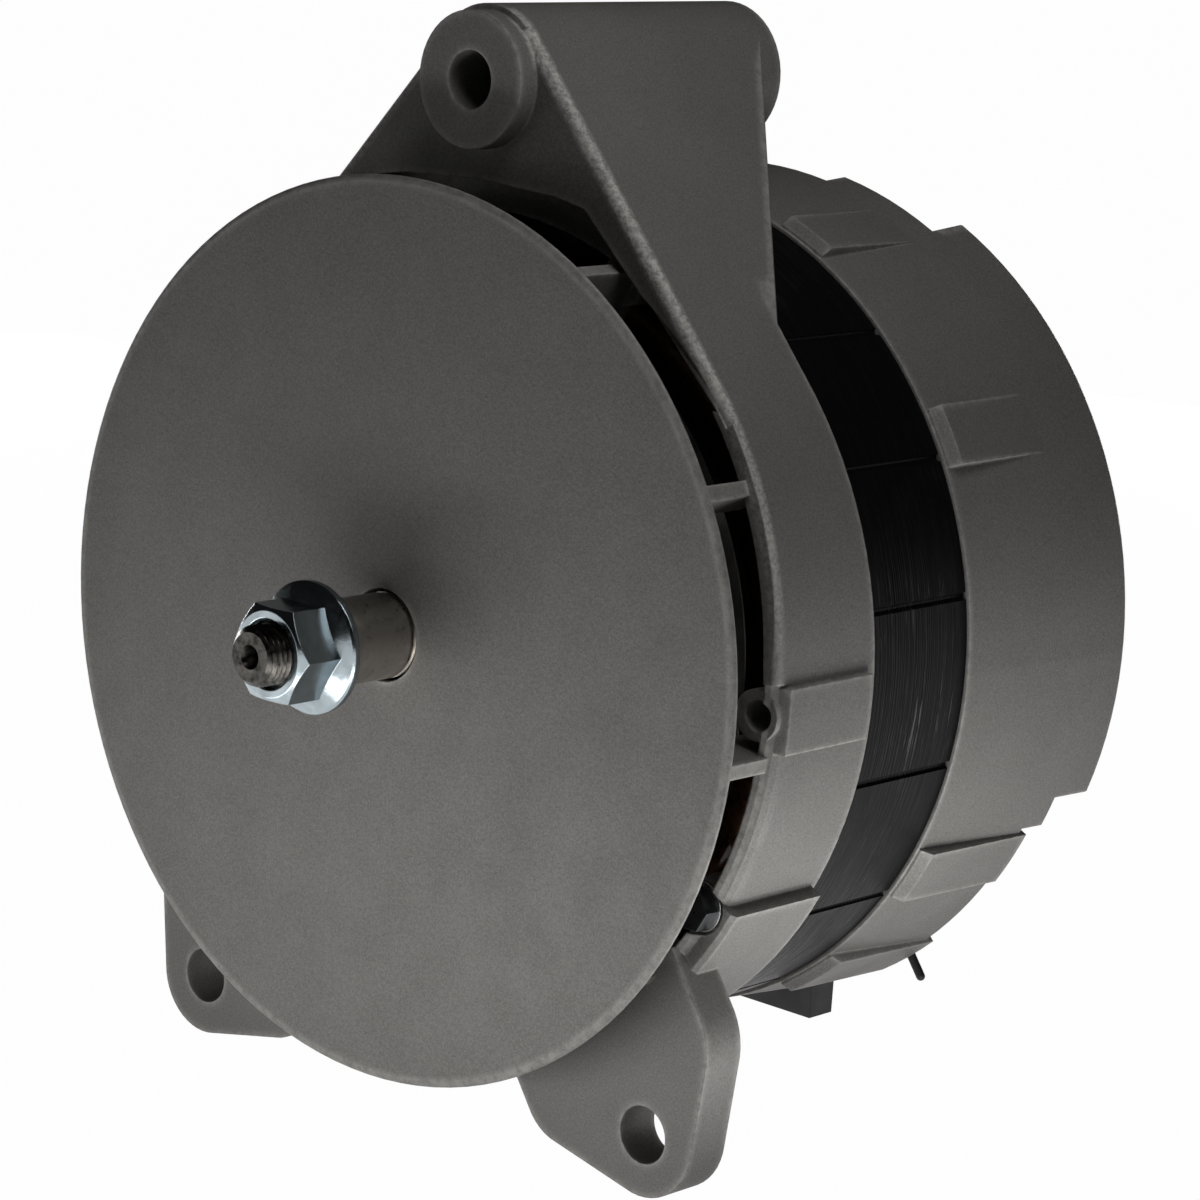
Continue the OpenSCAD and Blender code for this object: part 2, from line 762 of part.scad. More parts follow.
// Riveted cage that keeps the balls apart
module cage(count, pitch, ball, y0, width) {
  mid = y0 + width / 2;
  difference() {
    tube(pitch + cage_half, pitch - cage_half, mid - ball - cage_rim, mid + ball + cage_rim);
    for (i = [0:count - 1]) translate([0, mid, 0]) rotate([0, i * 360 / count, 0])
      translate([0, 0, pitch - cage_half - 1])
        cylinder(r = ball + running_gap, h = 2 * cage_half + 2, $fn = 48);
  }
}
module front_bearing_outer() {
  color("silver") race(front_pitch + front_ball_r * race_wall_share, front_od_r, front_pitch,
    front_ball_r, front_bearing_y, front_w);
}
module front_bearing_inner() {
  color("silver") race(shaft_r + seat_gap, front_pitch - front_ball_r * race_wall_share, front_pitch,
    front_ball_r, front_bearing_y, front_w);
}
module front_bearing_balls() {
  color("white") balls(front_balls, front_pitch, front_ball_r, front_bearing_y, front_w);
}
module front_bearing_cage() {
  color("goldenrod") cage(front_balls, front_pitch, front_ball_r, front_bearing_y, front_w);
}
// Shields on both sides of the front bearing, held in the outer ring
module front_bearing_shields() {
  outer = front_pitch + front_ball_r * race_wall_share - seat_gap;
  inner = front_pitch - front_ball_r * race_wall_share + 0.4;
  color("darkgray") for (y0 = [front_bearing_y + shield_inset,
                               front_bearing_y + front_w - shield_inset - shield_t])
    tube(outer, inner, y0, y0 + shield_t);
}
// Plate that keeps the front bearing in its hub
module bearing_retainer() {
  color("silver") slab(hub_rear, hub_rear + retainer_t) difference() {
    circle(retainer_screw_circle + screw_head_r + 1);
    circle(front_od_r - 5);
    for (i = [0:3])
      translate(at(45 + i * 90, retainer_screw_circle)) circle(screw_r + bolt_gap, $fn = 32);
  }
}
module retainer_screws() {
  color("silver") for (i = [0:3]) {
    place = at(45 + i * 90, retainer_screw_circle);
    bar(screw_r, hub_rear - retainer_screw_depth + 1, hub_rear + retainer_t + 0.5, place);
    difference() {
      bar(screw_head_r, hub_rear + retainer_t, hub_rear + retainer_t + screw_head_h, place);
      hex_bar(2.5, hub_rear + retainer_t + 0.8, hub_rear + retainer_t + screw_head_h + 1, place);
    }
  }
}
module rear_bearing_outer() {
  color("silver") race(rear_pitch + rear_ball_r * race_wall_share, rear_od_r, rear_pitch,
    rear_ball_r, rear_bearing_y, rear_w);
}
module rear_bearing_inner() {
  color("silver") race(rear_bore_r + seat_gap, rear_pitch - rear_ball_r * race_wall_share, rear_pitch,
    rear_ball_r, rear_bearing_y, rear_w);
}
module rear_bearing_balls() {
  color("white") balls(rear_balls, rear_pitch, rear_ball_r, rear_bearing_y, rear_w);
}
module rear_bearing_cage() {
  color("goldenrod") cage(rear_balls, rear_pitch, rear_ball_r, rear_bearing_y, rear_w);
}

// Stepped shaft from the threaded nose to the rear journal
module shaft() {
  tip = -seat_len - thread_len;
  chamfer = 1.2;
  relief = 0.3;
  relief_w = 1.2;
  centre_r = 2.4;
  color("gray") difference() {
    turned([
      [0, tip], [thread_r - chamfer, tip], [thread_r, tip + chamfer], [thread_r, -seat_len - 2],
      [thread_r - 1, -seat_len - 1.5], [thread_r - 1, -seat_len],
      [shaft_r - 0.5, -seat_len], [shaft_r, -seat_len + 0.5],
      [shaft_r, 0], [shaft_r - relief, 0], [shaft_r - relief, relief_w], [shaft_r, relief_w],
      [shaft_r, fan_rear], [core_seat_r, fan_rear], [core_seat_r, rotor_rear], [shaft_r, rotor_rear],
      [shaft_r, rear_bearing_y], [rear_bore_r, rear_bearing_y], [rear_bore_r, rear_bearing_end - 1.5],
      [rear_bore_r - 1, rear_bearing_end - 0.5], [0, rear_bearing_end - 0.5]
    ]);
    turned([[0, tip - 1], [centre_r, tip - 1], [centre_r, tip], [1, tip + centre_r], [1, tip + 5],
            [0, tip + 5]]);
  }
}
// Flange nut with chamfered corners, screwed against the pulley seat's shoulder
module shaft_nut() {
  base = -seat_len;
  corner = nut_af / 2 / cos(30);
  flange_r = nut_flange_d / 2;
  rim_t = 1.6;
  color("lightsteelblue") difference() {
    union() {
      intersection() {
        hex_bar(nut_af, base - nut_h, base - rim_t);
        turned([[0, base - nut_h], [corner - 2, base - nut_h], [corner, base - nut_h + 1.2],
                [corner, base - rim_t], [0, base - rim_t]]);
      }
      turned([
        [0, base], [flange_r, base], [flange_r, base - rim_t + 0.4], [flange_r - 0.4, base - rim_t],
        [corner - 1.2, base - rim_t - 1.4], [0, base - rim_t - 1.4]
      ]);
    }
    bar(thread_r + running_gap, base - nut_h - 1, base + 1);
    turned([[0, base - nut_h - 1], [thread_r + 1.4, base - nut_h - 1], [thread_r + 1, base - nut_h],
            [thread_r, base - nut_h + 1], [0, base - nut_h + 1]]);
  }
}
// Sleeve between the front bearing and the fan
module bearing_spacer() {
  color("gray") tube(shaft_r + 3, shaft_r + seat_gap, hub_rear, fan_front);
}
// Pressed fan whose curved blades stand forward into the air outlet
module fan() {
  blade_in = hub_r + 5;
  lift = 6;
  bend = blade_in * 0.8;
  blade_inset = 0.5;
  blade_front = plate_rear + fan_gap;
  color("darkgray") {
    slab(fan_front, fan_rear) difference() {
      circle(fan_r);
      circle(shaft_r + seat_gap);
    }
    slab(blade_front, fan_front + 0.5) for (i = [0:blade_count - 1]) rotate(i * 360 / blade_count)
      intersection() {
        translate([-sqrt(bend * bend - lift * lift), blade_in + lift]) difference() {
          circle(bend + fan_t / 2);
          circle(bend - fan_t / 2);
        }
        difference() {
          circle(fan_r - blade_inset);
          circle(blade_in);
        }
        translate([-fan_r / 5, blade_in - 4]) square([fan_r / 3, fan_r]);
      }
  }
}
// Pole piece with tapered claws, its plate's outer face at zero
module pole_piece() {
  tip = rotor_len - 2;
  inset = 0.4;
  root_end = pole_t - inset;
  intersection() {
    turned([[claw_root_in - 8, inset], [rotor_r - 1.5, inset], [rotor_r, inset + 1.5],
            [rotor_r, tip - 1], [rotor_r - 1, tip], [claw_tip_in, tip],
            [claw_root_in, root_end], [claw_root_in - 8, root_end]]);
    for (i = [0:claw_count - 1]) rotate([0, i * 360 / claw_count, 0])
      translate([0, 0, claw_root_in - 12]) linear_extrude(rotor_r)
        polygon([[-claw_root, 0], [claw_root, 0], [claw_root, pole_t], [claw_tip, tip],
                 [-claw_tip, tip], [-claw_root, pole_t]]);
  }
  tube(claw_root_in - 4, core_seat_r + seat_gap, 0, pole_t);
}
module front_pole() {
  color("#3c3f42") translate([0, rotor_front, 0]) pole_piece();
}
// Rear pole with two holes and channels that take the coil's leads inwards
module rear_pole() {
  color("#3c3f42") difference() {
    translate([0, rotor_rear, 0]) rotate([0, 180 / claw_count, 0]) mirror([0, 1, 0]) pole_piece();
    both_sides() {
      bar(lead_hole_r, rotor_rear - pole_t - 1, rotor_rear + 1, [lead_circle, 0]);
      translate([core_seat_r + 1, rotor_rear - 2 * lead_hole_r, -lead_hole_r])
        cube([lead_circle - core_seat_r - 1, 2 * lead_hole_r + 1, 2 * lead_hole_r]);
    }
  }
}
module rotor_core() {
  color("#54575a") tube(core_r, core_seat_r + seat_gap, rotor_front + pole_t, rotor_rear - pole_t);
}
// Moulded bobbin round the core
module field_bobbin() {
  y0 = rotor_front + pole_t;
  y1 = rotor_rear - pole_t;
  color("ivory") turned([
    [core_r + seat_gap, y0], [bobbin_r, y0], [bobbin_r, y0 + bobbin_t],
    [core_r + bobbin_t, y0 + bobbin_t], [core_r + bobbin_t, y1 - bobbin_t],
    [bobbin_r, y1 - bobbin_t], [bobbin_r, y1], [core_r + seat_gap, y1]
  ]);
}
// Wound field coil, its outside waved by the layers of wire
module field_coil() {
  y0 = rotor_front + pole_t + bobbin_t;
  y1 = rotor_rear - pole_t - bobbin_t;
  rows = 12;
  pitch = (y1 - y0) / rows;
  coil_r = bobbin_r - 1.5;
  color("#b06a34") turned(concat(
    [[core_r + bobbin_t, y0]],
    [for (i = [0:rows - 1], s = [0, 1]) [coil_r - 0.6 * (1 - s), y0 + (i + s / 2) * pitch]],
    [[coil_r - 0.6, y1], [core_r + bobbin_t, y1]]
  ));
}
// Leads from the coil through the rear pole to the slip rings' sleeve
module field_leads() {
  color("#b06a34") both_sides() {
    bar(lead_wire_r, rotor_rear - pole_t, rotor_rear - lead_wire_r, [lead_circle, 0]);
    translate([core_seat_r + 2, rotor_rear - lead_wire_r - 0.1, 0]) rotate([0, 90, 0])
      cylinder(r = lead_wire_r, h = lead_circle - core_seat_r - 2, $fn = 32);
  }
}
// Insulating sleeve that carries the slip rings
module slip_ring_sleeve() {
  seat = slip_r - slip_ring_t;
  collar = slip_r - 0.5;
  end_t = 0.5;
  color("#2a2320") turned([
    [shaft_r + seat_gap, rotor_rear], [collar, rotor_rear], [collar, slip_front],
    [seat, slip_front], [seat, slip_front + slip_w], [collar, slip_front + slip_w],
    [collar, second_slip], [seat, second_slip], [seat, slip_end],
    [collar, slip_end], [collar, slip_end + end_t], [shaft_r + seat_gap, slip_end + end_t]
  ]);
}
module slip_rings() {
  color("peru") for (y0 = [slip_front, second_slip])
    tube(slip_r, slip_r - slip_ring_t + seat_gap, y0, y0 + slip_w);
}

// Outline of a brush pocket seen from the front
module brush_room(y0, gap) {
  translate([-brush_w / 2 - gap, y0 - brush_t / 2 - gap, -holder_low])
    cube([brush_w + 2 * gap, brush_t + 2 * gap, holder_low]);
}
// Moulded holder with two brush pockets and a plug through the rear wall
module brush_holder() {
  height = holder_low + holder_floor;
  color("#26262a") difference() {
    union() {
      translate([-holder_half, holder_front, -height])
        cube([2 * holder_half, wall_in - holder_front, height - slip_r - 1]);
      translate([-holder_half, wall_in - 0.5, -height])
        cube([2 * holder_half, rear_wall + 0.5, height - rear_hub_r - 2]);
    }
    bar(slip_r + 0.8, holder_front - 1, wall_in + 1);
    for (y0 = brush_rows) brush_room(y0, slide_gap);
  }
}
// Carbon brush with its end hollowed to the slip ring
module brush(y0) {
  difference() {
    translate([-brush_w / 2, y0 - brush_t / 2, -brush_low])
      cube([brush_w, brush_t, brush_low - brush_top + 2]);
    bar(brush_top, y0 - brush_t, y0 + brush_t);
  }
}
// Coil spring under a brush
module brush_spring(y0) {
  around = 12;
  sides = 6;
  steps = spring_turns * around;
  top = -brush_low - spring_wire_r;
  bottom = -holder_low + spring_wire_r;
  points = [for (i = [0:steps], k = [0:sides - 1])
    let (turn = 360 * i / around, r = spring_r + spring_wire_r * cos(60 * k))
      [r * cos(turn), y0 + r * sin(turn), bottom + (top - bottom) * i / steps + spring_wire_r * sin(60 * k)]];
  body = [for (i = [0:steps - 1], k = [0:sides - 1])
    let (n = (k + 1) % sides)
      [i * sides + k, (i + 1) * sides + k, (i + 1) * sides + n, i * sides + n]];
  ends = [[for (k = [0:sides - 1]) k], [for (k = [sides - 1:-1:0]) steps * sides + k]];
  polyhedron(points, concat(body, ends), convexity = 6);
}
module inner_brush() {
  color("#2b2b2b") brush(brush_rows[0]);
}
module outer_brush() {
  color("#2b2b2b") brush(brush_rows[1]);
}
module inner_brush_spring() {
  color("silver") brush_spring(brush_rows[0]);
}
module outer_brush_spring() {
  color("silver") brush_spring(brush_rows[1]);
}

// Moulded regulator block across the foot of the rear wall, finned on its back
module regulator() {
  half = regulator_w / 2;
  neck = step_x - 1.5;
  shoulder = -step_z - 1.5;
  top = -rear_hub_r - 3;
  fin_pitch = (regulator_w - 2 * fin_edge - fin_t) / (regulator_fins - 1);
  fin_low = regulator_screw_at.y + regulator_head_r + fin_gap;
  color("#1d1d1f") difference() {
    union() {
      slab(wall_out, wall_out + regulator_t) {
        translate([-half, -regulator_reach]) square([regulator_w, regulator_reach + shoulder]);
        translate([-neck, shoulder - 1]) square([2 * neck, top - shoulder + 1]);
      }
      slab(wall_out + regulator_t - 1, wall_out + regulator_t + fin_h)
        for (i = [0:regulator_fins - 1])
          translate([fin_edge - half + i * fin_pitch, fin_low])
            square([fin_t, shoulder - fin_gap - fin_low]);
    }
    both_sides() bar(screw_r + bolt_gap, wall_out - 1, wall_out + regulator_t + 1, regulator_screw_at);
  }
}
module regulator_screws() {
  color("silver") both_sides() {
    bar(screw_r, wall_in - 1, wall_out + regulator_t + 0.5, regulator_screw_at);
    difference() {
      bar(regulator_head_r, wall_out + regulator_t, wall_out + regulator_t + 3, regulator_screw_at);
      hex_bar(3, wall_out + regulator_t + 1.2, wall_out + regulator_t + 4, regulator_screw_at);
    }
  }
}

// Heat sink in a rectifier chamber on the +X side
module heat_sink() {
  margin = rear_wall + sink_gap;
  slab(sink_y, sink_y + sink_t) difference() {
    intersection() {
      circle(rear_in_r - sink_gap - 2);
      chamber_outline(margin);
    }
    for (a = diode_angles) translate(at(a, diode_circle)) circle(diode_r + seat_gap);
    for (a = sink_screw_angles) translate(at(a, sink_screw_circle)) circle(screw_r + bolt_gap, $fn = 32);
  }
}
// Press-in diodes with their lead posts, on the +X side
module diodes() {
  for (a = diode_angles) {
    place = at(a, diode_circle);
    bar(diode_r, sink_y - diode_front, sink_y + sink_t, place);
    bar(diode_r - 2, sink_y - diode_front - 1, sink_y + sink_t + 0.6, place);
    bar(lead_r, sink_y - diode_front - lead_stub, sink_y, place);
  }
}
module positive_heat_sink() {
  color("silver") difference() {
    heat_sink();
    bar(output_r + shank_rise + seat_gap, sink_y - 1, sink_y + sink_t + 1, [terminal_x, terminal_z]);
  }
}
module negative_heat_sink() {
  color("silver") mirror([1, 0, 0]) heat_sink();
}
module positive_diodes() {
  color("darkgray") diodes();
}
module negative_diodes() {
  color("dimgray") mirror([1, 0, 0]) diodes();
}
// Sleeved leads from the windings to the diodes
module phase_leads() {
  color("firebrick") both_sides() for (a = diode_angles)
    bar(lead_r + 0.5, stator_rear + turn_h, sink_y - diode_front - lead_stub, at(a, diode_circle));
}
// Spacer tube between a heat sink and the chamber's rear wall
module sink_spacers() {
  for (a = sink_screw_angles)
    tube(spacer_r, screw_r + bolt_gap, sink_y + sink_t, chamber_in_y, at(a, sink_screw_circle));
}
module rectifier_insulators() {
  color("ivory") sink_spacers();
}
module rectifier_spacers() {
  color("silver") mirror([1, 0, 0]) sink_spacers();
}
module rectifier_screws() {
  color("silver") both_sides() for (a = sink_screw_angles) {
    place = at(a, sink_screw_circle);
    bar(screw_r, sink_y - 0.5, chamber_y - 1, place);
    bar(screw_head_r, sink_y - screw_head_h, sink_y, place);
  }
}

// Terminal stud with a hexagonal head, a shank up to its nut's outer face and a threaded end
module stud(radius, head_y, shank_end, end, place) {
  hex_bar(radius * 2 + stud_hex_rise, head_y - stud_head_h, head_y, place);
  bar(radius + shank_rise, head_y - 0.5, shank_end, place);
  translate([place.x, 0, place.y])
    turned([[0, shank_end - 0.5], [radius, shank_end - 0.5], [radius, end - 1],
      [radius - 0.9, end], [0, end]]);
}
// Height of a terminal nut with its washer
function stud_nut_height(radius) = stud_washer_t + radius * 1.6;
// Hexagonal nut with a washer under it
module stud_nut(radius, base, place) {
  top = base + stud_nut_height(radius);
  color("silver") difference() {
    union() {
      bar(radius * 2.1, base, base + stud_washer_t, place);
      hex_bar(radius * 2 + stud_hex_rise, base + stud_washer_t - 0.2, top, place);
    }
    bar(radius + shank_rise + running_gap, base - 1, top + 1, place);
  }
}
module output_stud() {
  color("goldenrod") stud(output_r, sink_y,
    chamber_y + bush_flange_t + stud_nut_height(output_r), chamber_y + output_len,
    [terminal_x, terminal_z]);
}
// Flanged bush that insulates the output stud from the housing
module stud_insulator() {
  color("#7d2018") {
    tube(output_r + shank_rise + bush_wall, output_r + shank_rise + seat_gap,
      sink_y + sink_t, chamber_y + 0.5, [terminal_x, terminal_z]);
    tube(bush_flange_r, output_r + shank_rise + seat_gap, chamber_y, chamber_y + bush_flange_t,
      [terminal_x, terminal_z]);
  }
}
module output_nut() {
  stud_nut(output_r, chamber_y + bush_flange_t, [terminal_x, terminal_z]);
}
module ground_stud() {
  color("silver") stud(ground_r, chamber_in_y,
    chamber_y + stud_nut_height(ground_r), chamber_y + ground_len, [-terminal_x, terminal_z]);
}
module ground_nut() {
  stud_nut(ground_r, chamber_y, [-terminal_x, terminal_z]);
}

// Long bolts that clamp the stator between the housings, headed at the drive end
module lower_through_bolts() {
  seat = ring_front + spot_depth - washer_t;
  color("silver") both_sides() {
    place = at(lower_bolt_angle, bolt_circle_r);
    hex_bar(bolt_d * 1.6, seat - bolt_d * 0.7, seat, place);
    bar(bolt_r, seat - 0.5, wall_out + washer_t + bolt_d * 0.8 + bolt_tail, place);
  }
}
// Washers under the bolts' heads and under their nuts
module through_bolt_washers() {
  head_seat = ring_front + spot_depth;
  color("silver") both_sides() {
    place = at(lower_bolt_angle, bolt_circle_r);
    tube(washer_r, bolt_r + running_gap, head_seat - washer_t, head_seat, place);
    tube(washer_r, bolt_r + running_gap, wall_out, wall_out + washer_t, place);
  }
}
module through_bolt_nuts() {
  color("silver") both_sides() {
    place = at(lower_bolt_angle, bolt_circle_r);
    difference() {
      hex_bar(bolt_d * 1.6, wall_out + washer_t, wall_out + washer_t + bolt_d * 0.8, place);
      bar(bolt_r + seat_gap, wall_out, wall_out + washer_t + bolt_d, place);
    }
  }
}
// Shorter bolts, headed at the rear and screwed into the web's root
module upper_through_bolts() {
  color("silver") both_sides() {
    place = at(upper_bolt_angle, bolt_circle_r);
    hex_bar(bolt_d * 1.6, low_step_y, low_step_y + bolt_d * 0.7, place);
    bar(bolt_r, ring_rear - upper_bolt_reach, low_step_y + 0.5, place);
  }
}
// Round-ended rod along the radius at the sense terminal's place
module radial_pin(radius, from, to) {
  out = at(pin_angle, from);
  translate([out.x, pin_y, out.y]) rotate([0, pin_angle, 0]) rotate_extrude($fn = 48)
    polygon(concat([[0, 0], [radius, 0]], arc([0, to - from - radius], radius, 0, 90), [[0, to - from]]));
}
// Thin sense terminal that stands out past the rear wall's edge
module terminal_pin() {
  color("#1a1a1a") radial_pin(pin_r, pin_root, pin_end);
}

drive_end_housing();
stator_core();
stator_windings();
rear_housing();
front_bearing_outer();
front_bearing_inner();
front_bearing_balls();
front_bearing_cage();
front_bearing_shields();
bearing_retainer();
retainer_screws();
rear_bearing_outer();
rear_bearing_inner();
rear_bearing_balls();
rear_bearing_cage();
shaft();
shaft_nut();
bearing_spacer();
fan();
front_pole();
rear_pole();
rotor_core();
field_bobbin();
field_coil();
field_leads();
slip_ring_sleeve();
slip_rings();
brush_holder();
inner_brush();
outer_brush();
inner_brush_spring();
outer_brush_spring();
regulator();
regulator_screws();
positive_heat_sink();
negative_heat_sink();
positive_diodes();
negative_diodes();
phase_leads();
rectifier_insulators();
rectifier_spacers();
rectifier_screws();
output_stud();
stud_insulator();
output_nut();
ground_stud();
ground_nut();
lower_through_bolts();
through_bolt_washers();
through_bolt_nuts();
upper_through_bolts();
terminal_pin();
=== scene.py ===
import bpy
import bmesh
import json
import math
from mathutils import Matrix, Vector


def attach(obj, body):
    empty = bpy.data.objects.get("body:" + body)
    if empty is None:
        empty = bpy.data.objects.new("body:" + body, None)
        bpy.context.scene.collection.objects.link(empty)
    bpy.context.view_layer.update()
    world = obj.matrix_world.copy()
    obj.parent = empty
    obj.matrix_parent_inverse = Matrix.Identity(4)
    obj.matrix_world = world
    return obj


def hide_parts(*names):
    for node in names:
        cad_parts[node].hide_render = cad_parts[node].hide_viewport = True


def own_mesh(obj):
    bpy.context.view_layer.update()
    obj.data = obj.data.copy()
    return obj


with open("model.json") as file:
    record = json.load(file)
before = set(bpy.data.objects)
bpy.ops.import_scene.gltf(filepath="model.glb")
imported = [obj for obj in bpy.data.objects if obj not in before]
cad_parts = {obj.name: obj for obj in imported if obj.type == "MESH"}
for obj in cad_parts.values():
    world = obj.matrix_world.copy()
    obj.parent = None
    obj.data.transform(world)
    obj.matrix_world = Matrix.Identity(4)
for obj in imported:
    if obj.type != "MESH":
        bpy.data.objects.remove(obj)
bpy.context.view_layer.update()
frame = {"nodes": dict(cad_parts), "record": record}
nodes = frame["nodes"]
scene = bpy.context.scene
MM = 0.001
FULL_TURN = 2 * math.pi

# Camera fitted to the photograph
CAM_AT = Vector((0.549657, -0.564126, 0.178822))
FORWARD = Vector((-0.64385, 0.73583, -0.20978)).normalized()
UP = Vector((-0.18990, 0.11192, 0.97540)).normalized()
SENSOR_WIDTH = 36
LENS = 124.07

# Studio
FLOOR_Z = -0.1012
FLOOR_SIZE = 60
FLOOR_GREY = 0.9
FLOOR_GLOW = 0.985
WORLD_LIGHT = 0.01

# The triangular web's flank: its slope across and up, and how far out its straight edge lies
FLANK_ACROSS = 0.754
FLANK_UP = 0.657
FLANK_REACH = 0.0848
FLANK_MEETS_RING = 0.8727
# The front edge goes back from the ring's front to the web's front between these heights
RING_FRONT_Y = 0.0175
WEB_FRONT_Y = 0.0202
SLANT_FROM_Z = 0.009
SLANT_TO_Z = 0.0562
# The web's ridge, rubbed and with a painted highlight: how far behind the edge it lies, and from where
# to where its light fades
RIDGE_INSET = 0.0007
RIDGE_FULL = 0.0008
RIDGE_GONE = 0.0021
RIDGE_STARTS_Z = 0.03

# Edges that the bevel node rounds, and edges that it finds and paints lighter, partly as rub wear and
# partly as a painted highlight
CAST_EDGE = 0.0005
FINE_EDGE = 0.0003
EDGE_WEAR_AND_HIGHLIGHT = 0.001
WEAR_AND_HIGHLIGHT_REACH = 0.0026

# The shaft's thread and the nose that it is cut on, in millimetres
THREAD_PITCH = 1.25
THREAD_DEPTH = 0.7
THREAD_FLANK = 1.25
THREAD_CREST = 0.1
THREAD_RADIUS = 6.0
THREAD_START = -34.9
THREAD_END = -20.6
NOSE_END = -35.0
NOSE_RADIUS = 4.8
NOSE_CHAMFER_END = -33.8
RUNOUT_START = -21.2
RUNOUT_SLOPE = 1.6
SHAFT_SIDES = 72
RINGS_PER_TURN = 10
# The radius of a ring that lies on the axis
LEAST_RADIUS = 0.001
# Where the shaft's steel turns to oiled black, in metres
OILED_FROM = -0.019
OILED_TO = -0.018

# The front plate's rim, in millimetres: the band that it fills, and its profile from front to
# back as pairs of radius and depth, in the solid and as it is
RIM_INNER = 88.9
RIM_FRONT = 0.4
RIM_BACK = 4.6
RIM_WAS = [(89.0, 0.5), (89.31, 0.55), (89.59, 0.69), (89.81, 0.91), (89.95, 1.19), (90.0, 1.5),
           (90.0, 3.5), (89.95, 3.81), (89.81, 4.09), (89.59, 4.31), (89.31, 4.45), (89.0, 4.5)]
RIM_NOW = [(88.4, 0.5), (88.8, 0.56), (89.15, 0.69), (89.45, 0.9), (89.6, 1.2), (89.55, 1.55),
           (88.9, 2.2), (88.5, 2.65), (88.1, 3.1), (87.7, 3.6), (87.3, 4.05), (86.9, 4.5)]


def add_camera():
    cam = bpy.data.objects.new("camera", bpy.data.cameras.new("camera"))
    scene.collection.objects.link(cam)
    right = FORWARD.cross(UP).normalized()
    up = right.cross(FORWARD).normalized()
    facing = Matrix((right, up, -FORWARD)).transposed().to_4x4()
    cam.matrix_world = Matrix.Translation(CAM_AT) @ facing
    cam.data.sensor_width = SENSOR_WIDTH
    cam.data.lens = LENS
    cam.data.clip_start = 0.01
    scene.camera = cam


